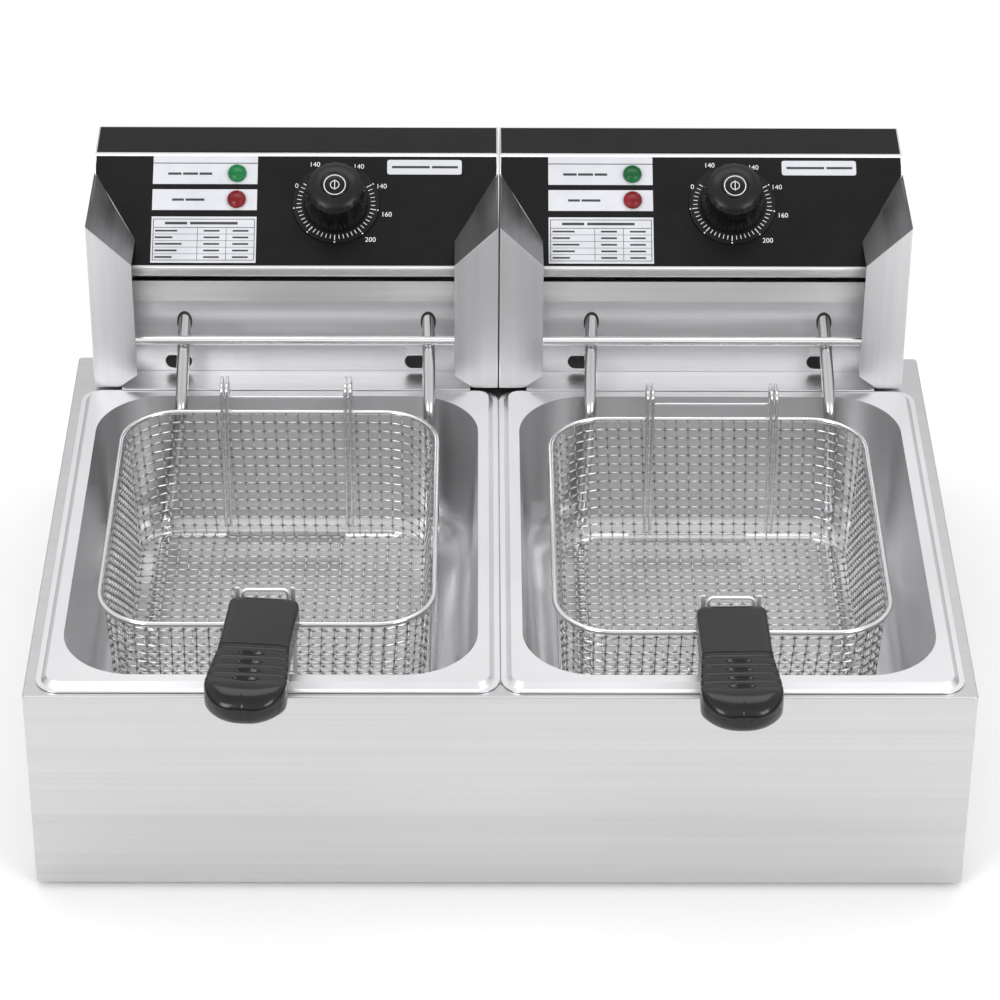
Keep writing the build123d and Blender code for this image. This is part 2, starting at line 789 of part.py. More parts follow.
def make_head_internals(side, place):
    head_x = place["head_x"]
    rear_inner = behind(head_rear) - sheet
    skirt_floor = cabinet_top - skirt_drop + sheet
    block_place = (head_x + 50.0, behind(405.0))
    block_height = 16.0
    gland_place = (head_x, cabinet_top - gland_height)
    nut_thickness = 7.0
    neck_length = 6.0
    with BuildPart() as terminal_block:
        with BuildSketch(Plane.XY.offset(skirt_floor)):
            with Locations(block_place):
                Rectangle(46.0, 18.0)
        extrude(amount=block_height)
        with BuildSketch(Plane.XY.offset(skirt_floor + block_height)):
            with Locations(block_place):
                with GridLocations(13.0, 8.0, 3, 2):
                    Circle(2.5)
        extrude(amount=-6.0, mode=Mode.SUBTRACT)
    save(terminal_block, f"{side}_terminal_block")

    with BuildPart() as cable_gland:
        with BuildSketch(Plane.XZ.offset(-rear_inner + neck_length)):
            with Locations(gland_place):
                Circle(2 * cord_radius)
        extrude(amount=-neck_length - sheet)
        with BuildSketch(Plane.XZ.offset(-behind(head_rear))):
            with Locations(gland_place):
                RegularPolygon(11.0, 6)
        extrude(amount=-nut_thickness)
        with BuildSketch(Plane.XZ.offset(-behind(head_rear) - nut_thickness)):
            with Locations(gland_place):
                Circle(8.5)
        extrude(amount=-5.0, taper=15)
        with BuildSketch(Plane.XZ.offset(-rear_inner + neck_length)):
            with Locations(gland_place):
                Circle(cord_radius)
        extrude(amount=-30.0, mode=Mode.SUBTRACT)
    save(cable_gland, f"{side}_cable_gland")

    screw_x = 112.0
    screw_heights = (cabinet_top - 30.0, above(20.0), above(70.0))
    with BuildPart() as housing_screws:
        for direction in (-1, 1):
            outer = head_x + direction * screw_x
            for height in screw_heights:
                with BuildSketch(Plane.XZ.offset(-behind(head_rear))):
                    with Locations((outer, height)):
                        Circle(3.4)
                extrude(amount=-2.0, taper=12)
    save(housing_screws, f"{side}_housing_screws")


make_cabinet()
for side_name, side_place in sides.items():
    make_tank(side_name, side_place)
    make_basket(side_name, side_place)
    make_handle(side_name, side_place)
    make_head_sheets(side_name, side_place)
    make_panel_print(side_name, side_place)
    make_knob(side_name, side_place)
    make_heating(side_name, side_place)
    make_head_internals(side_name, side_place)
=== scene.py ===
import json
import math

import bmesh
import bpy
from mathutils import Matrix, Vector


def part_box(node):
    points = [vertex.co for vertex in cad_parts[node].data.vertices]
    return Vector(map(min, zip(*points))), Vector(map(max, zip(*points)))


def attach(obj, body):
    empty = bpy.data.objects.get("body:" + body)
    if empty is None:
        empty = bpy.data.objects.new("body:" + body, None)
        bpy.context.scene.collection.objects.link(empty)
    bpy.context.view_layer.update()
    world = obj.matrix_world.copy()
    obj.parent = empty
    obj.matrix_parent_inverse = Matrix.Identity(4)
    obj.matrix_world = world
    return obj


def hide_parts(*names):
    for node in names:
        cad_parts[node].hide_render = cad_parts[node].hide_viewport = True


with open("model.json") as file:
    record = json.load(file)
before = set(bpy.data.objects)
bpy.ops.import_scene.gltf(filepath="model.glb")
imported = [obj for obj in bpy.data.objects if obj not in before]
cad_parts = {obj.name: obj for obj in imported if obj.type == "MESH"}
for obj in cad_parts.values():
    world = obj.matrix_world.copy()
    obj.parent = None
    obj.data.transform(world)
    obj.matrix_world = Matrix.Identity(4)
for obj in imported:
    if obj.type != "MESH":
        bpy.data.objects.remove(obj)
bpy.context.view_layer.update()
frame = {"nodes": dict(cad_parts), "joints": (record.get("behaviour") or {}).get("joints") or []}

SIDES = ("left", "right")
MM = 0.001
TAU = 2.0 * math.pi

CAMERA_PLACE = (-0.0145, -1.92455, 1.4179)
CAMERA_PITCH = 33.569  # degrees below the horizon
CAMERA_YAW = 0.447
CAMERA_ROLL = 0.348
CAMERA_LENS = 135.85
SKY_STRENGTH = 0.95
FLOOR_REACH = 6.0


# ---------------------------------------------------------------- camera, light and floor
def make_camera():
    """A long lens, in front of the fryer and looking down at it."""
    pitch = math.radians(CAMERA_PITCH)
    yaw = math.radians(CAMERA_YAW)
    roll = math.radians(CAMERA_ROLL)
    forward = Vector((math.sin(yaw) * math.cos(pitch), math.cos(yaw) * math.cos(pitch), -math.sin(pitch)))
    level = Vector((math.cos(yaw), -math.sin(yaw), 0.0))
    upright = level.cross(forward)
    right = level * math.cos(roll) + upright * math.sin(roll)
    up = upright * math.cos(roll) - level * math.sin(roll)
    data = bpy.data.cameras.new("camera")
    data.sensor_width = 36.0
    data.lens = CAMERA_LENS
    data.clip_end = 20.0
    camera = bpy.data.objects.new("camera", data)
    bpy.context.scene.collection.objects.link(camera)
    turn = Matrix((right, up, -forward)).transposed().to_4x4()
    camera.matrix_world = Matrix.Translation(Vector(CAMERA_PLACE)) @ turn
    bpy.context.scene.camera = camera


def area_light(name, place, target, width, height, power):
    data = bpy.data.lights.new(name, "AREA")
    data.shape = "RECTANGLE"
    data.size = width
    data.size_y = height
    data.energy = power
    light = bpy.data.objects.new(name, data)
    light.location = place
    aim = Vector(target) - Vector(place)
    light.rotation_euler = aim.to_track_quat("-Z", "Y").to_euler()
    bpy.context.scene.collection.objects.link(light)


# Pairs of the sine of the height above the horizon and the brightness there: dim low down, bright above.
SKY = ((0.0, 0.06), (0.12, 0.10), (0.28, 0.75), (0.45, 1.0), (0.75, 1.0), (1.0, 0.75))


def make_studio():
    scene = bpy.context.scene
    scene.view_settings.view_transform = "Standard"
    world = bpy.data.worlds.new("studio")
    world.use_nodes = True
    scene.world = world
    nodes, links = world.node_tree.nodes, world.node_tree.links
    background = nodes["Background"]
    coords = nodes.new("ShaderNodeTexCoord")
    split = nodes.new("ShaderNodeSeparateXYZ")
    ramp = nodes.new("ShaderNodeValToRGB")
    stops = ramp.color_ramp.elements
    stops[0].position, stops[1].position = SKY[0][0], SKY[-1][0]
    for position, _ in SKY[1:-1]:
        stops.new(position)
    for stop, (_, level) in zip(stops, SKY):
        stop.color = (level, level, level * 1.01, 1)
    links.new(coords.outputs["Generated"], split.inputs[0])
    links.new(split.outputs["Z"], ramp.inputs[0])
    links.new(ramp.outputs[0], background.inputs["Color"])
    background.inputs["Strength"].default_value = SKY_STRENGTH
    area_light("overhead", (0.0, 0.5, 2.2), (0, 0, 0), width=2.0, height=1.0, power=12)
    area_light("front_left", (-1.5, -2.0, 1.5), (0, 0, 0.1), width=1.0, height=1.0, power=20)
    area_light("front_right", (1.6, -1.8, 1.4), (0, 0, 0.1), width=1.0, height=1.0, power=16)

    mesh = bpy.data.meshes.new("floor")
    reach = FLOOR_REACH
    corners = [(-reach, -reach, 0), (reach, -reach, 0), (reach, reach, 0), (-reach, reach, 0)]
    mesh.from_pydata(corners, [], [(0, 1, 2, 3)])
    floor = bpy.data.objects.new("floor", mesh)
    scene.collection.objects.link(floor)
    material = new_material("floor_paper")
    shader = material.node_tree.nodes["Principled BSDF"]
    tint_by_noise(material, (0.93, 0.93, 0.93), (0.95, 0.95, 0.95), scale=3.0)
    shader.inputs["Roughness"].default_value = 0.9
    mesh.materials.append(material)


# ---------------------------------------------------------------- materials
def new_material(name):
    material = bpy.data.materials.new(name)
    material.use_nodes = True
    return material


def stretched_noise(material, scale, detail=3.0, roughness=0.6, offset=0.0):
    """A noise over the model's own coordinates, with its own scale along X, Y and Z."""
    nodes, links = material.node_tree.nodes, material.node_tree.links
    coords = nodes.new("ShaderNodeTexCoord")
    mapping = nodes.new("ShaderNodeMapping")
    mapping.inputs["Scale"].default_value = scale
    mapping.inputs["Location"].default_value = (offset, offset, offset)
    noise = nodes.new("ShaderNodeTexNoise")
    noise.inputs["Scale"].default_value = 1.0
    noise.inputs["Detail"].default_value = detail
    noise.inputs["Roughness"].default_value = roughness
    links.new(coords.outputs["Object"], mapping.inputs["Vector"])
    links.new(mapping.outputs["Vector"], noise.inputs["Vector"])
    return noise.outputs["Fac"]


def ramp_between(material, source, low, high, start=0.35, stop=0.65):
    nodes, links = material.node_tree.nodes, material.node_tree.links
    ramp = nodes.new("ShaderNodeValToRGB")
    ramp.color_ramp.elements[0].position = start
    ramp.color_ramp.elements[0].color = (*low, 1) if isinstance(low, tuple) else (low, low, low, 1)
    ramp.color_ramp.elements[1].position = stop
    ramp.color_ramp.elements[1].color = (*high, 1) if isinstance(high, tuple) else (high, high, high, 1)
    links.new(source, ramp.inputs[0])
    return ramp.outputs[0]


def tint_by_noise(material, low, high, scale):
    fac = stretched_noise(material, (scale, scale, scale))
    color = ramp_between(material, fac, low, high)
    material.node_tree.links.new(color, material.node_tree.nodes["Principled BSDF"].inputs["Base Color"])


def bump(material, height, strength, distance):
    nodes, links = material.node_tree.nodes, material.node_tree.links
    node = nodes.new("ShaderNodeBump")
    node.inputs["Strength"].default_value = strength
    node.inputs["Distance"].default_value = distance
    links.new(height, node.inputs["Height"])
    links.new(node.outputs["Normal"], nodes["Principled BSDF"].inputs["Normal"])


def brushed_steel(name, along, low, high, roughness, strength=0.12):
    """Stainless steel with fine lines along one axis, and a faint cloudiness from handling."""
    material = new_material(name)
    shader = material.node_tree.nodes["Principled BSDF"]
    # A low scale along the brushing stretches the noise into lines.
    fine = tuple(3.0 if axis == along else 1100.0 for axis in "XYZ")
    broad = tuple(1.2 if axis == along else 160.0 for axis in "XYZ")
    lines = stretched_noise(material, fine, detail=4.0, roughness=0.7)
    bands = stretched_noise(material, broad, detail=2.0, roughness=0.5, offset=3.7)
    clouds = stretched_noise(material, (9.0, 9.0, 9.0), detail=3.0, roughness=0.55, offset=1.3)
    nodes, links = material.node_tree.nodes, material.node_tree.links
    mix = nodes.new("ShaderNodeMix")
    mix.data_type = "FLOAT"
    mix.inputs["Factor"].default_value = 0.45
    links.new(lines, mix.inputs["A"])
    links.new(bands, mix.inputs["B"])
    links.new(ramp_between(material, mix.outputs["Result"], low, high), shader.inputs["Base Color"])
    rough = ramp_between(material, clouds, roughness - 0.05, roughness + 0.06, start=0.25, stop=0.75)
    links.new(rough, shader.inputs["Roughness"])
    shader.inputs["Metallic"].default_value = 1.0
    shader.inputs["Anisotropic"].default_value = 0.35
    bump(material, lines, strength, distance=0.00012)
    return material


def satin_steel(name, low, high, roughness, grain=420.0, strength=0.05):
    """Drawn or pressed stainless steel: no brush lines, only a fine grain and soft clouds."""
    material = new_material(name)
    shader = material.node_tree.nodes["Principled BSDF"]
    links = material.node_tree.links
    grains = stretched_noise(material, (grain, grain, grain), detail=3.0, roughness=0.6)
    clouds = stretched_noise(material, (7.0, 7.0, 7.0), detail=3.0, roughness=0.55, offset=2.1)
    links.new(ramp_between(material, clouds, low, high), shader.inputs["Base Color"])
    rough = ramp_between(material, clouds, roughness - 0.04, roughness + 0.05, start=0.3, stop=0.7)
    links.new(rough, shader.inputs["Roughness"])
    shader.inputs["Metallic"].default_value = 1.0
    bump(material, grains, strength, distance=0.0001)
    return material


def woven_steel(name, dark, bright):
    """Bright wire, darkened by a vertex attribute where two wires cross: painted shade of the crossing wire,
    with some grime.
    """
    material = new_material(name)
    nodes, links = material.node_tree.nodes, material.node_tree.links
    shader = nodes["Principled BSDF"]
    shade_and_grime = nodes.new("ShaderNodeAttribute")
    shade_and_grime.attribute_name = "shade_and_grime"
    wear = stretched_noise(material, (60.0, 60.0, 60.0), detail=2.0, roughness=0.5, offset=5.1)
    together = nodes.new("ShaderNodeMath")
    together.operation = "MULTIPLY_ADD"
    links.new(wear, together.inputs[0])
    together.inputs[1].default_value = 0.25
    links.new(shade_and_grime.outputs["Fac"], together.inputs[2])
    # The attribute darkens the wire at each crossing: painted shade, with some grime. The wear noise adds
    # random tone.
    color = ramp_between(material, together.outputs[0], bright, dark, start=0.15, stop=0.9)
    links.new(color, shader.inputs["Base Color"])
    rough = ramp_between(material, wear, 0.12, 0.2)
    links.new(rough, shader.inputs["Roughness"])
    shader.inputs["Metallic"].default_value = 1.0
    return material


def moulded(name, low, high, roughness, grain=900.0, strength=0.15, coat=0.0, specular=0.5):
    """Plastic, rubber, film or print with a fine grain, worn a little smoother in patches."""
    material = new_material(name)
    shader = material.node_tree.nodes["Principled BSDF"]
    links = material.node_tree.links
    grains = stretched_noise(material, (grain, grain, grain), detail=2.0, roughness=0.5)
    wear = stretched_noise(material, (35.0, 35.0, 35.0), detail=3.0, roughness=0.6, offset=4.4)
    links.new(ramp_between(material, wear, low, high), shader.inputs["Base Color"])
    rough = ramp_between(material, wear, roughness - 0.06, roughness + 0.06, start=0.3, stop=0.7)
    links.new(rough, shader.inputs["Roughness"])
    shader.inputs["Specular IOR Level"].default_value = specular
    shader.inputs["Coat Weight"].default_value = coat
    shader.inputs["Coat Roughness"].default_value = 0.12
    bump(material, grains, strength, distance=0.00008)
    return material


def lens(name, dark, bright):
    """Coloured lamp lens with a faint glow."""
    material = moulded(name, dark, bright, 0.22, grain=300.0, strength=0.03, specular=0.35)
    shader = material.node_tree.nodes["Principled BSDF"]
    shader.inputs["Emission Color"].default_value = (*bright, 1)
    shader.inputs["Emission Strength"].default_value = 0.08
    return material


def grey(low, high):
    """Two greys with a trace of blue."""
    return (low, low, low * 1.01), (high, high, high * 1.01)


def make_materials():
    return {
        "cabinet_steel": brushed_steel("cabinet_steel", "X", *grey(0.57, 0.63), 0.34, 0.05),
        "head_steel": brushed_steel("head_steel", "X", *grey(0.79, 0.87), 0.34, 0.07),
        "cheek_steel": brushed_steel("cheek_steel", "Z", *grey(0.74, 0.82), 0.35, 0.08),
        # A darker copy of the cheek steel for the slopes on the wings: painted shade.
        "shaded_fold_steel": brushed_steel("shaded_fold_steel", "Y", *grey(0.31, 0.38), 0.34, 0.06),
        "tank_steel": satin_steel("tank_steel", *grey(0.77, 0.84), 0.325),
        "rod_steel": satin_steel("rod_steel", *grey(0.88, 0.94), 0.14),
        "element_steel": satin_steel("element_steel", *grey(0.52, 0.62), 0.14, grain=260.0, strength=0.06),
        "tab_steel": satin_steel("tab_steel", *grey(0.90, 0.95), 0.5, grain=500.0, strength=0.04),
        "wire": satin_steel("wire", *grey(0.68, 0.78), 0.13, grain=700.0, strength=0.04),
        "mesh_wire": woven_steel("mesh_wire", 0.24, 0.90),
        "zinc": satin_steel("zinc", *grey(0.5, 0.58), 0.38),
        "nickel": satin_steel("nickel", (0.55, 0.54, 0.52), (0.64, 0.63, 0.60), 0.34),
        "film": moulded(
            "film", (0.005, 0.005, 0.0055), (0.007, 0.007, 0.0075), 0.40,
            grain=500.0, strength=0.04, specular=0.14,
        ),
        "dial": moulded(
            "dial", (0.006, 0.006, 0.0065), (0.010, 0.010, 0.011), 0.42,
            grain=600.0, strength=0.06, specular=0.2,
        ),
        "knob": moulded(
            "knob", (0.004, 0.004, 0.0045), (0.007, 0.007, 0.0075), 0.30,
            grain=700.0, strength=0.05, specular=0.3,
        ),
        "knob_cap": moulded(
            "knob_cap", (0.004, 0.004, 0.004), (0.006, 0.006, 0.0065), 0.16,
            grain=400.0, strength=0.03, specular=0.3,
        ),
        "handle": moulded(
            "handle", (0.005, 0.005, 0.0055), (0.009, 0.009, 0.0095), 0.21,
            grain=1100.0, strength=0.05, coat=0.2, specular=0.3,
        ),
        "rubber": moulded(
            "rubber", (0.012, 0.012, 0.012), (0.022, 0.022, 0.022), 0.7,
            grain=500.0, strength=0.3,
        ),
        "label": moulded(
            "label", (0.60, 0.61, 0.64), (0.66, 0.67, 0.70), 0.5,
            grain=300.0, strength=0.02, specular=0.2,
        ),
        "print_dark": moulded(
            "print_dark", (0.02, 0.02, 0.022), (0.05, 0.05, 0.055), 0.6,
            grain=300.0, strength=0.02,
        ),
        "print_light": moulded(
            "print_light", (0.80, 0.80, 0.80), (0.90, 0.90, 0.90), 0.5,
            grain=300.0, strength=0.02,
        ),
        "ivory": moulded(
            "ivory", (0.62, 0.61, 0.56), (0.7, 0.69, 0.64), 0.5,
            grain=500.0, strength=0.08,
        ),
        "green": lens("green", (0.0, 0.08, 0.02), (0.0, 0.22, 0.06)),
        "red": lens("red", (0.09, 0.001, 0.003), (0.24, 0.004, 0.008)),
    }


# Each side's CAD nodes that show as they are. The others are replaced by the pieces made below.
CAD_MATERIALS = {
    "tank": "tank_steel",
    "head_back_cover": "head_steel",
    "head_front_plate": "head_steel",
    "head_panel": "head_steel",
    "panel_film": "film",
    "panel_labels": "label",
    "lamp_bodies": "ivory",
    "dial_ring": "dial",
    "thermostat_body": "zinc",
    "thermostat_shaft": "zinc",
    "heating_element": "element_steel",
    "element_glands": "rubber",
    "hanging_rod": "rod_steel",
    "sensor_bulb": "nickel",
    "terminal_block": "ivory",
    "cable_gland": "dial",
    "housing_screws": "zinc",
    "basket_frame": "wire",
    "handle_bracket": "tab_steel",
}


def dress(node, material):
    data = frame["nodes"][node].data
    data.materials.clear()
    data.materials.append(material)


def dress_cad(materials):
    for side in SIDES:
        for node, material in CAD_MATERIALS.items():
            dress(f"{side}_{node}", materials[material])
    for node in ("cabinet_shell", "cabinet_base", "centre_rail"):
        dress(node, materials["cabinet_steel"])
    dress("rubber_feet", materials["rubber"])
    dress("foot_screws", materials["zinc"])


# ---------------------------------------------------------------- mesh helpers
def make_piece(name, verts, faces, material, body, smooth=True, shade_and_grime=None):
    mesh = bpy.data.meshes.new(name)
    mesh.from_pydata(verts, [], faces)
    mesh.validate()
    mesh.update()
    if smooth:
        mesh.polygons.foreach_set("use_smooth", [True] * len(mesh.polygons))
    # Optional darkening per vertex: painted shade at the wire crossings, with some grime.
    if shade_and_grime:
        mesh.attributes.new("shade_and_grime", "FLOAT", "POINT").data.foreach_set("value", shade_and_grime)
    mesh.materials.append(material)
    piece = bpy.data.objects.new(name, mesh)
    bpy.context.scene.collection.objects.link(piece)
    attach(piece, body)
    return piece


def tube(verts, faces, path, radius, closed=False, around=6):
    """Adds a round wire along the path to the lists of vertices and faces."""
    count = len(path)
    first = len(verts)
    normal = None
    for index, point in enumerate(path):
        before = path[index - 1] if index > 0 or closed else point
        after = path[(index + 1) % count] if index < count - 1 or closed else point
        direction = (after - before).normalized()
        if normal is None:
            reference = Vector((0, 0, 1)) if abs(direction.z) < 0.8 else Vector((1, 0, 0))
            normal = direction.cross(reference).normalized()
        normal = (normal - direction * normal.dot(direction)).normalized()
        across = direction.cross(normal)
        for step in range(around):
            angle = TAU * step / around
            verts.append(point + (normal * math.cos(angle) + across * math.sin(angle)) * radius)
    rings = count if closed else count - 1
    for ring in range(rings):
        here = first + ring * around
        there = first + ((ring + 1) % count) * around
        for step in range(around):
            following = (step + 1) % around
            faces.append((here + step, here + following, there + following, there + step))
    if not closed:
        faces.append(tuple(first + step for step in reversed(range(around))))
        last = first + (count - 1) * around
        faces.append(tuple(last + step for step in range(around)))


def revolve(verts, faces, profile, segments, base, ripple=None):
    """Turns a profile of (radius, height) about the local Z of the matrix base, closed at both ends."""
    first = len(verts)
    for index, (radius, height) in enumerate(profile):
        for step in range(segments):
            angle = TAU * step / segments
            r = radius * (ripple(index, angle) if ripple else 1.0)
            verts.append(base @ Vector((r * math.cos(angle), r * math.sin(angle), height)))
    for ring in range(len(profile) - 1):
        here = first + ring * segments
        there = here + segments
        for step in range(segments):
            following = (step + 1) % segments
            faces.append((here + step, here + following, there + following, there + step))
    faces.append(tuple(first + step for step in reversed(range(segments))))
    last = first + (len(profile) - 1) * segments
    faces.append(tuple(last + step for step in range(segments)))


def slab(verts, faces, base, x0, y0, x1, y1, z0, z1):
    """A thin rectangular plate in the local frame of the matrix base."""
    first = len(verts)
    for z in (z0, z1):
        for x, y in ((x0, y0), (x1, y0), (x1, y1), (x0, y1)):
            verts.append(base @ Vector((x, y, z)))
    for quad in ((3, 2, 1, 0), (4, 5, 6, 7), (0, 1, 5, 4), (1, 2, 6, 5), (2, 3, 7, 6), (3, 0, 4, 7)):
        faces.append(tuple(first + corner for corner in quad))


# ---------------------------------------------------------------- woven baskets
MESH_PITCH = 7.4 * MM
ROW_PITCH = 6.4 * MM
MESH_WIRE = 0.52 * MM  # radius
CRIMP = 0.26 * MM
AROUND = 6  # sides of a mesh wire
FINE = 4  # points of a wire's path from one crossing to the next
CORNER = 32.6 * MM
WALL_INSET = 0.0009  # from the closed tub's outer face in to the wires
TOP_RISE = 0.0006
FLOOR_RISE = 0.0012
BASKET_DRAFT = math.tan(math.radians(3.3))


def rounded_outline(half_x, half_y, corner, distance):
    """Point and outward normal at this distance round a rounded rectangle, counted from its +X side."""
    quarter = math.pi / 2 * corner
    straight_x, straight_y = 2 * (half_x - corner), 2 * (half_y - corner)
    legs = (straight_y, quarter, straight_x, quarter) * 2
    starts = (
        (half_x, -(half_y - corner)), (half_x - corner, half_y - corner),
        (half_x - corner, half_y), (-(half_x - corner), half_y - corner),
        (-half_x, half_y - corner), (-(half_x - corner), -(half_y - corner)),
        (-(half_x - corner), -half_y), (half_x - corner, -(half_y - corner)),
    )
    distance %= sum(legs)
    for index, length in enumerate(legs):
        if distance <= length or index == len(legs) - 1:
            break
        distance -= length
    angle = (index // 2) * math.pi / 2
    x, y = starts[index]
    if index % 2:
        angle += distance / corner
        return x + corner * math.cos(angle), y + corner * math.sin(angle), math.cos(angle), math.sin(angle)
    along = (-math.sin(angle), math.cos(angle))
    return x + along[0] * distance, y + along[1] * distance, math.cos(angle), math.sin(angle)


def outline_length(half_x, half_y, corner):
    return 4 * (half_x + half_y - 2 * corner) + TAU * corner


def shade_and_grime_at(crossing):
    """Painted shade of the crossing wire, with some grime, at this place along a wire: most where it meets
    another (a whole number).
    """
    return [abs(math.cos(math.pi * crossing)) ** 4] * AROUND


def weave_basket(side, materials):
    low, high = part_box(f"{side}_basket_mesh")
    mid_x, mid_y = (low[0] + high[0]) / 2, (low[1] + high[1]) / 2
    top_half_x = (high[0] - low[0]) / 2 - WALL_INSET
    top_half_y = (high[1] - low[1]) / 2 - WALL_INSET
    top, floor = high[2] + TOP_RISE, low[2] + FLOOR_RISE

    def on_wall(share, z, lift):
        shrink = (top - z) * BASKET_DRAFT
        half_x, half_y, corner = top_half_x - shrink, top_half_y - shrink, CORNER - shrink
        x, y, nx, ny = rounded_outline(half_x, half_y, corner, share * outline_length(half_x, half_y, corner))
        return Vector((mid_x + x + nx * lift, mid_y + y + ny * lift, z))

    upright_count = 2 * round(outline_length(top_half_x, top_half_y, CORNER) / MESH_PITCH / 2)
    hoop_count = round((top - floor) / ROW_PITCH)
    hoop_gap = (top - floor) / hoop_count
    wire, body = materials["mesh_wire"], f"{side}_basket"
    # Each wire point gets a darkening value, highest at the crossings: painted shade, with some grime.
    verts, faces, shade_and_grime = [], [], []
    for upright in range(upright_count):
        path = []
        for sample in range(hoop_count * FINE + 1):
            crossing = sample / FINE
            lift = CRIMP * math.cos(math.pi * (crossing + upright))
            path.append(on_wall(upright / upright_count, top - crossing * hoop_gap, lift))
            shade_and_grime += shade_and_grime_at(crossing)
        tube(verts, faces, path, MESH_WIRE, around=AROUND)
    for hoop in range(1, hoop_count):
        path = []
        for sample in range(upright_count * FINE):
            crossing = sample / FINE
            lift = -CRIMP * math.cos(math.pi * (crossing + hoop))
            path.append(on_wall(crossing / upright_count, top - hoop * hoop_gap, lift))
            shade_and_grime += shade_and_grime_at(crossing)
        tube(verts, faces, path, MESH_WIRE, closed=True, around=AROUND)
    wall = make_piece(f"{side}_woven_wall", verts, faces, wire, body, shade_and_grime=shade_and_grime)

    shrink = (top - floor) * BASKET_DRAFT
    half = (top_half_x - shrink, top_half_y - shrink)
    corner = CORNER - shrink
    verts, faces, shade_and_grime = [], [], []
    for axis in (0, 1):
        other = 1 - axis
        count = int(half[other] / MESH_PITCH)
        for line in range(-count, count + 1):
            offset = line * MESH_PITCH
            into = abs(offset) - (half[other] - corner)
            reach = half[axis]
            if into > 0:
                reach -= corner - math.sqrt(max(corner * corner - into * into, 0.0))
            samples = int(reach / MESH_PITCH * FINE)
            path = []
            for sample in range(-samples, samples + 1):
                along = reach * sample / samples
                crossing = along / MESH_PITCH
                lift = CRIMP * math.cos(math.pi * (crossing + line)) * (1 if axis else -1)
                point = [0.0, 0.0, floor + lift]
                point[axis] = (mid_x, mid_y)[axis] + along
                point[other] = (mid_x, mid_y)[other] + offset
                path.append(Vector(point))
                shade_and_grime += shade_and_grime_at(crossing)
            tube(verts, faces, path, MESH_WIRE, around=AROUND)
    ground = make_piece(f"{side}_woven_floor", verts, faces, wire, body, shade_and_grime=shade_and_grime)
    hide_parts(f"{side}_basket_mesh")


# ---------------------------------------------------------------- handle grips
HANDLE_YAW = {"left": -5.2, "right": 1.4}
GRIP_THICK = 21.0
GRIP_SEAM = 12.0  # height of the moulding seam round the grip
GRIP_SHORT = 2.2  # how much shorter than the CAD grip, to stay inside its box
GRIP_GAP = 0.0014  # from the CAD grip's root to this one's
ROOT_SHARE = 0.045  # share of the length over which the root is rounded
END_TOP, END_BOTTOM, END_SIDE = 15.0, 8.0, 19.0  # reach of the end's rounding on each face
SEAM_DEPTH, SEAM_WIDTH = 0.28, 0.45
CREASE_DEPTH, CREASE_WIDTH = 0.35, 0.6
DIMPLE_HALF_WIDTH, DIMPLE_HALF_LENGTH, DIMPLE_DEPTH = 7.6, 2.3, 2.6


def smooth_step(low, high, value):
    share = min(max((value - low) / (high - low), 0.0), 1.0)
    return share * share * (3 - 2 * share)


def groove(t, middle, width=0.011):
    return math.exp(-(((t - middle) / width) ** 2))


def quarter_round(distance, reach):
    """0 beyond the reach from an edge, rising like a quarter circle to 1 at the edge."""
    return 1.0 - math.sqrt(max(1.0 - (max(reach - distance, 0.0) / reach) ** 2, 0.0))


GROOVES = (0.505, 0.59, 0.675, 0.755)
DIMPLES = (0.548, 0.633, 0.715, 0.79)


def grip_section(t, length):
    """Half width, top and bottom of the grip at this share of its length, in mm."""
    half_width = 20.3 + 2.9 * smooth_step(0.40, 0.80, t)
    top = GRIP_THICK - 0.9 * smooth_step(0.46, 0.475, t) + 0.5 * smooth_step(0.80, 0.84, t)
    bottom = 0.3
    for middle in GROOVES:
        half_width -= 0.4 * groove(t, middle)
        top -= 0.35 * groove(t, middle)
    rounded = quarter_round(t, ROOT_SHARE)
    half_width -= 4.0 * rounded
    top -= 2.0 * rounded
    to_end = (1.0 - t) * length
    top -= (GRIP_THICK - GRIP_SEAM) * quarter_round(to_end, END_TOP)
    bottom += 7.0 * quarter_round(to_end, END_BOTTOM)
    half_width -= 18.5 * quarter_round(to_end, END_SIDE)
    return half_width, top, bottom


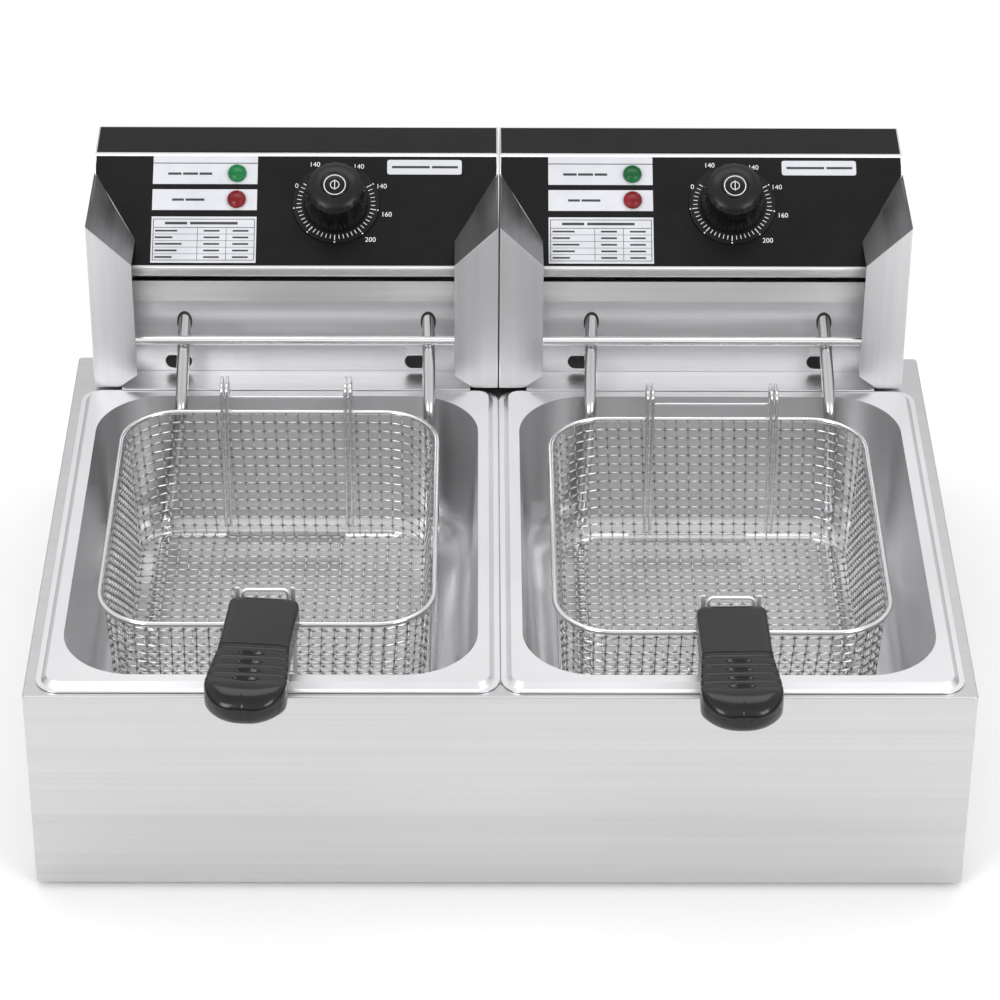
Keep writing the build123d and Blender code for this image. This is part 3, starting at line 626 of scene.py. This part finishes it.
def make_grip(side, materials):
    low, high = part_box(f"{side}_handle_grip")
    bracket_low, bracket_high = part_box(f"{side}_handle_bracket")
    yaw = math.radians(HANDLE_YAW[side])
    length = (high[1] - low[1]) / MM / math.cos(yaw) - GRIP_SHORT
    root = Vector(((bracket_low[0] + bracket_high[0]) / 2, high[1] - GRIP_GAP, low[2]))
    base = Matrix.Translation(root) @ Matrix.Rotation(yaw, 4, "Z") @ Matrix.Scale(MM, 4)
    around = 200
    # The sections stand closest together where the root and the end round off.
    shares = [0.0, 0.002, 0.005, 0.010, 0.017, 0.025, 0.035, 0.045]
    shares += [0.05 + 0.0033 * step for step in range(242)]
    shares += [0.85 + 0.15 * math.sin(math.pi / 2 * step / 40) for step in range(1, 41)]
    verts, faces = [], []
    for t in shares:
        half_width, top, bottom = grip_section(t, length)
        upper, lower = top - GRIP_SEAM, GRIP_SEAM - bottom
        # A high power gives a boxy section, and towards the end it falls to a rounder one.
        power = 2.0 / (0.28 + 0.50 * smooth_step(0.80, 0.99, t))
        for step in range(around):
            angle = TAU * step / around
            c, s = math.cos(angle), math.sin(angle)
            reach = (abs(c) ** power + abs(s) ** power) ** (-1.0 / power)
            x = half_width * reach * c
            z = (upper if s > 0 else lower) * reach * s
            seam = SEAM_DEPTH * math.exp(-((z / SEAM_WIDTH) ** 2))
            x -= math.copysign(seam, x)
            if s > 0:
                crease = CREASE_DEPTH * math.exp(-((x / CREASE_WIDTH) ** 2)) * smooth_step(0.9, 0.95, t)
                z -= crease
                for centre in DIMPLES:
                    within = (x / DIMPLE_HALF_WIDTH) ** 2 + ((t - centre) * length / DIMPLE_HALF_LENGTH) ** 2
                    if within < 1.0:
                        z -= DIMPLE_DEPTH * (1 - within) ** 0.5
            verts.append(base @ Vector((x, -t * length, GRIP_SEAM + z)))
    for row in range(len(shares) - 1):
        here, there = row * around, (row + 1) * around
        for step in range(around):
            following = (step + 1) % around
            faces.append((here + step, here + following, there + following, there + step))
    faces.append(tuple(reversed(range(around))))
    faces.append(tuple((len(shares) - 1) * around + step for step in range(around)))
    grip = make_piece(f"{side}_moulded_grip", verts, faces, materials["handle"], f"{side}_basket")
    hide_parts(f"{side}_handle_grip")


# ---------------------------------------------------------------- knobs, dials and print
KNOB_FOOT = 2.08  # over the panel
FLUTES = 18
KNOB_SEGMENTS = 216
CAP_SEGMENTS = 96


def knob_joint(side):
    for joint in frame["joints"]:
        if joint["name"] == f"{side}_knob_turn":
            return joint
    raise KeyError(side)


def panel_frame(side):
    """Local frame on the panel at the knob's centre: X across, Y up the slope, Z out of the panel, in mm."""
    joint = knob_joint(side)
    out = -Vector(joint["axis"]).normalized()
    across = Vector((1, 0, 0))
    up = out.cross(across)
    turn = Matrix((across, up, out)).transposed().to_4x4()
    return Matrix.Translation(Vector(joint["pos_m"])) @ turn @ Matrix.Scale(MM, 4)


def make_knob(side, materials):
    """A tall knob with a fluted wall, a dome with a scalloped edge, and a glossy cap with a plain mark."""
    base = panel_frame(side)
    foot = KNOB_FOOT
    wall = [(17.0, 0.0), (20.0, 0.0), (20.3, 0.5), (20.3, 1.2), (20.0, 2.0)]
    wall += [(20.0 - 0.115 * step, 2.0 + step) for step in range(1, 21)]
    wall += [(17.2, 22.6), (15.5, 22.7)]

    def fluted(index, angle):
        depth = 0.012 if 4 < index < len(wall) - 2 else 0.0
        return 1.0 - depth * abs(math.sin(FLUTES * angle / 2 + math.pi / 4))

    verts, faces = [], []
    revolve(verts, faces, [(r, foot + h) for r, h in wall], KNOB_SEGMENTS, base, fluted)
    dome = [
        (17.0, 21.5), (17.8, 21.7), (18.1, 22.2), (17.9, 22.8), (17.2, 23.3), (16.1, 24.2),
        (14.8, 25.0), (13.0, 25.8), (10.9, 26.3), (9.3, 26.55), (8.7, 26.55), (8.55, 26.2),
    ]

    def scalloped(index, angle):
        depth = 0.024 if 0 < index < 5 else 0.0
        return 1.0 - depth * (1 - abs(math.sin(FLUTES * angle / 2)))

    revolve(verts, faces, [(r, foot + h) for r, h in dome], KNOB_SEGMENTS, base, scalloped)
    knob = make_piece(f"{side}_fluted_knob", verts, faces, materials["knob"], f"{side}_knob")
    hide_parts(f"{side}_knob")

    cap = [(8.4, 25.9), (8.4, 26.5), (8.2, 26.8), (7.8, 26.95), (5.0, 27.15), (2.0, 27.25), (0.3, 27.27)]
    verts, faces = [], []
    revolve(verts, faces, [(r, foot + h) for r, h in cap], CAP_SEGMENTS, base)
    face = make_piece(f"{side}_glossy_cap", verts, faces, materials["knob_cap"], f"{side}_knob")
    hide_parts(f"{side}_knob_cap")

    verts, faces = [], []
    for radius, height, thick in ((6.7, 27.05, 0.30), (2.7, 27.22, 0.26)):
        turns = [TAU * step / 64 for step in range(64)]
        path = [base @ Vector((radius * math.cos(a), radius * math.sin(a), foot + height)) for a in turns]
        tube(verts, faces, path, thick * MM, closed=True)
    slab(verts, faces, base, -0.24, -3.4, 0.24, 3.4, foot + 27.1, foot + 27.45)
    mark = make_piece(f"{side}_cap_mark", verts, faces, materials["print_light"], f"{side}_knob")


def text_mesh(words, size, base, body, name, material):
    curve = bpy.data.curves.new(name, "FONT")
    curve.body = words
    curve.size = size
    curve.extrude = 0.03
    curve.align_x = "CENTER"
    curve.align_y = "CENTER"
    shaped = bpy.data.objects.new(name + "_font", curve)
    bpy.context.scene.collection.objects.link(shaped)
    bpy.context.view_layer.update()
    mesh = bpy.data.meshes.new_from_object(shaped)
    bpy.data.objects.remove(shaped)
    mesh.name = name
    mesh.transform(base)
    mesh.materials.clear()
    mesh.materials.append(material)
    piece = bpy.data.objects.new(name, mesh)
    bpy.context.scene.collection.objects.link(piece)
    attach(piece, body)
    return piece


def make_dial_print(side, materials):
    base = panel_frame(side)
    ring_top = 1.79
    start, sweep = 147.0, 243.0
    majors, minors = 6, 6
    tick_start, minor_end, major_end, dot_place = 22.1, 24.9, 25.7, 27.0
    verts, faces = [], []
    for tick in range(majors * minors + 1):
        is_major = tick % minors == 0
        turned = base @ Matrix.Rotation(math.radians(start + sweep * tick / (majors * minors)), 4, "Z")
        reach = major_end if is_major and tick else minor_end
        half = 0.27 if is_major else 0.22
        slab(verts, faces, turned, tick_start, -half, reach, half, ring_top, ring_top + 0.06)
        if is_major and tick:
            dot = turned @ Matrix.Translation(Vector((dot_place, 0.0, 0.0)))
            revolve(verts, faces, [(0.55, ring_top - 0.2), (0.5, ring_top + 0.02)], 12, dot)
    ink, body = materials["print_light"], f"{side}_head"
    ticks = make_piece(f"{side}_dial_ticks", verts, faces, ink, body, smooth=False)
    numbers = (
        ("0", -25.2, 11.9), ("140", -14.0, 27.6), ("140", 14.0, 26.2),
        ("140", 28.6, 12.4), ("160", 32.0, -7.3), ("200", 22.0, -24.8),
    )
    on_ring, on_film = 1.82, 0.40
    for index, (words, x, y) in enumerate(numbers):
        lift = on_ring if index == 0 else on_film
        place = base @ Matrix.Translation(Vector((x, y, lift)))
        text_mesh(words, 4.6, place, body, f"{side}_number_{index}", ink)


def make_label_print(side, materials):
    """Plain rules and dashes on the white labels, where the real one has words."""
    knob = panel_frame(side)
    origin = Vector((-25.8, 35.0, 0.0))
    base = knob @ Matrix.Translation(origin)
    top = 0.58
    verts, faces = [], []

    def rule(x0, y0, x1, y1):
        slab(verts, faces, base, x0, y0, x1, y1, top, top + 0.05)

    def frame_round(x0, y0, x1, y1, width=0.35):
        rule(x0, y0, x1, y0 + width)
        rule(x0, y1 - width, x1, y1)
        rule(x0, y0, x0 + width, y1)
        rule(x1 - width, y0, x1, y1)

    left, right = -90.0, -25.6
    rule(left - 0.9, -6.9, right + 0.9, -6.4)
    lamp_labels = (
        (-14.0, ((-81.5, 8.5), (-72.0, 9.5), (-61.5, 8.0))),
        (-32.2, ((-78.5, 7.5), (-70.0, 12.0))),
    )
    for middle, dashes in lamp_labels:
        for dash, width in dashes:
            rule(dash, middle - 0.8, dash + width, middle + 0.8)
    table_low, table_high, title = -74.4, -45.6, -51.6
    frame_round(left, table_low, right, table_high, 0.4)
    rule(left, title - 0.2, right, title + 0.2)
    rows = 5
    row_height = (title - table_low) / rows
    for row in range(1, rows):
        rule(left, table_low + row * row_height - 0.12, right, table_low + row * row_height + 0.12)
    for column in (-61.8, -43.6):
        rule(column - 0.15, table_low, column + 0.15, title)
    for dash, width in ((-82.5, 14.0), (-66.5, 30.0)):
        rule(dash, -49.5, dash + width, -47.7)
    for row in range(rows):
        middle = table_low + (row + 0.5) * row_height
        for dash, width in ((-88.6, 11.0 + 3.0 * (row % 3)), (-57.8, 10.0), (-39.5, 10.0)):
            rule(dash, middle - 0.6, dash + width, middle + 0.6)
    for dash, width in ((61.0, 24.0), (86.5, 16.5)):
        rule(dash, -9.9, dash + width, -8.3)
    ink, body = materials["print_dark"], f"{side}_head"
    piece = make_piece(f"{side}_label_rules", verts, faces, ink, body, smooth=False)


def make_lamps(side, materials):
    """Faceted lenses in a raised rim."""
    knob = panel_frame(side)
    rim = [(5.2, 0.0), (5.85, 0.1), (5.95, 1.1), (5.75, 1.9), (5.3, 2.25), (4.85, 2.2), (4.6, 1.7)]
    dome = [(4.5, 1.6), (3.9, 2.15), (2.9, 2.6), (1.6, 2.85), (0.25, 2.9)]

    def faceted(index, angle):
        return 1.0 - 0.05 * abs(math.sin(4 * angle)) if len(rim) <= index < len(rim) + 3 else 1.0

    across, lift = -63.3, 0.57
    for color, up in (("green", 21.0), ("red", 2.8)):
        base = knob @ Matrix.Translation(Vector((across, up, lift)))
        verts, faces = [], []
        revolve(verts, faces, rim + dome, 64, base, faceted)
        lamp = make_piece(f"{side}_{color}_lens", verts, faces, materials[color], f"{side}_head")
        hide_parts(f"{side}_{color}_lamp")


# ---------------------------------------------------------------- folded sheet on the heads
WING_FLANGE = 27.7  # width of the front flange
SHEET = 0.8
SEAT_HEIGHT = 49.6  # lower edge of the wing's front part, over the foot of its rear part
SKIRT_DEPTH = 69.6  # of the rear part that reaches down to the foot
WING_DROP = 9.4  # from the highest corner down to the wing's top edge
PANEL_SLOPE = 36.0  # degrees
SLOPE_BACK, SLOPE_DROP = 16.7, 48.4  # a place on the slope, behind the front and under the highest corner
SLOPE_LEAD = 0.9  # of the fold in front of that slope
CUT_HEIGHT, CUT_WIDTH = 9.0, 12.0  # the flange's cut-off lower corner
STRIP_DEPTH, STRIP_DROP = 34.55, 1.8  # of the nearly level edge at the rear


def make_wings(side, materials):
    """The folded sides of a head: side plate, front flange and the slope between them, with crisp folds."""
    for cheek, inward in (("left", 1), ("right", -1)):
        node = f"{side}_head_{cheek}_cheek"
        low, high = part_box(node)
        outer = low[0] / MM if inward > 0 else high[0] / MM
        front, rear, foot, top = low[1] / MM, high[1] / MM, low[2] / MM, high[2] / MM
        inner = outer + inward * WING_FLANGE
        seat = foot + SEAT_HEIGHT
        wing_top = top - WING_DROP
        flange_top = wing_top - WING_FLANGE
        lip = front + SLOPE_BACK
        rise = math.tan(math.radians(PANEL_SLOPE))
        lip_height = top - SLOPE_DROP
        at_top = lip + (wing_top - lip_height) / rise - SLOPE_LEAD
        at_flange = lip + (flange_top - lip_height) / rise - SLOPE_LEAD
        corners = [
            (outer, front, seat), (outer, front, wing_top), (inner, front, flange_top),
            (inner, front, seat + CUT_HEIGHT), (inner - inward * CUT_WIDTH, front, seat),
            (outer, at_top, wing_top), (inner, at_flange, flange_top),
            (outer, rear - STRIP_DEPTH, top - STRIP_DROP), (outer, rear, top), (outer, rear, foot),
            (outer, rear - SKIRT_DEPTH, foot), (outer, rear - SKIRT_DEPTH, seat),
        ]
        shape = bmesh.new()
        verts = [shape.verts.new(Vector(corner) * MM) for corner in corners]
        flange, slope, side_plate = (0, 1, 2, 3, 4), (1, 5, 6, 2), (0, 11, 10, 9, 8, 7, 5, 1)
        for ring in (flange, slope, side_plate):
            shape.faces.new([verts[index] for index in ring])
        bmesh.ops.recalc_face_normals(shape, faces=shape.faces)
        mesh = bpy.data.meshes.new(f"{node}_folded")
        shape.to_mesh(mesh)
        shape.free()
        # The flange has to face the front, so that the sheet thickens inwards.
        if mesh.polygons[0].normal.y > 0:
            mesh.flip_normals()
        mesh.materials.append(materials["cheek_steel"])
        # The slope between flange and side plate takes the darker copy of the cheek steel: painted shade.
        mesh.materials.append(materials["shaded_fold_steel"])
        mesh.polygons[1].material_index = 1
        wing = bpy.data.objects.new(f"{node}_folded", mesh)
        bpy.context.scene.collection.objects.link(wing)
        sheet = wing.modifiers.new("sheet", "SOLIDIFY")
        sheet.thickness = SHEET * MM
        sheet.offset = -1.0
        sheet.use_even_offset = True
        fold = wing.modifiers.new("fold", "BEVEL")
        fold.width = 0.5 * MM
        fold.segments = 2
        fold.limit_method = "ANGLE"
        fold.angle_limit = math.radians(25.0)
        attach(wing, f"{side}_head")
        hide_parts(node)


def make_slot_tabs(side, materials):
    """The small folded tab over each slot in the front plate."""
    low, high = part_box(f"{side}_head_front_plate")
    middle, front, foot = (low[0] + high[0]) / 2, low[1], low[2]
    base = Matrix.Translation(Vector((middle, front, foot))) @ Matrix.Scale(MM, 4)
    verts, faces = [], []
    half_width, bottom, fold_top, top = 7.2, 12.3, 13.0, 17.6
    rear, face, edge = 0.9, -0.5, -1.2
    for slot in (-76.0, 77.5):
        slab(verts, faces, base, slot - half_width, face, slot + half_width, rear, bottom, top)
        slab(verts, faces, base, slot - half_width, edge, slot + half_width, face, bottom, fold_top)
    steel, body = materials["head_steel"], f"{side}_head"
    tabs = make_piece(f"{side}_slot_tabs", verts, faces, steel, body, smooth=False)


# ---------------------------------------------------------------- the whole
make_camera()
make_studio()
surfaces = make_materials()
dress_cad(surfaces)
for side_name in SIDES:
    weave_basket(side_name, surfaces)
    make_grip(side_name, surfaces)
    make_knob(side_name, surfaces)
    make_dial_print(side_name, surfaces)
    make_label_print(side_name, surfaces)
    make_lamps(side_name, surfaces)
    make_wings(side_name, surfaces)
    make_slot_tabs(side_name, surfaces)

bpy.context.view_layer.update()
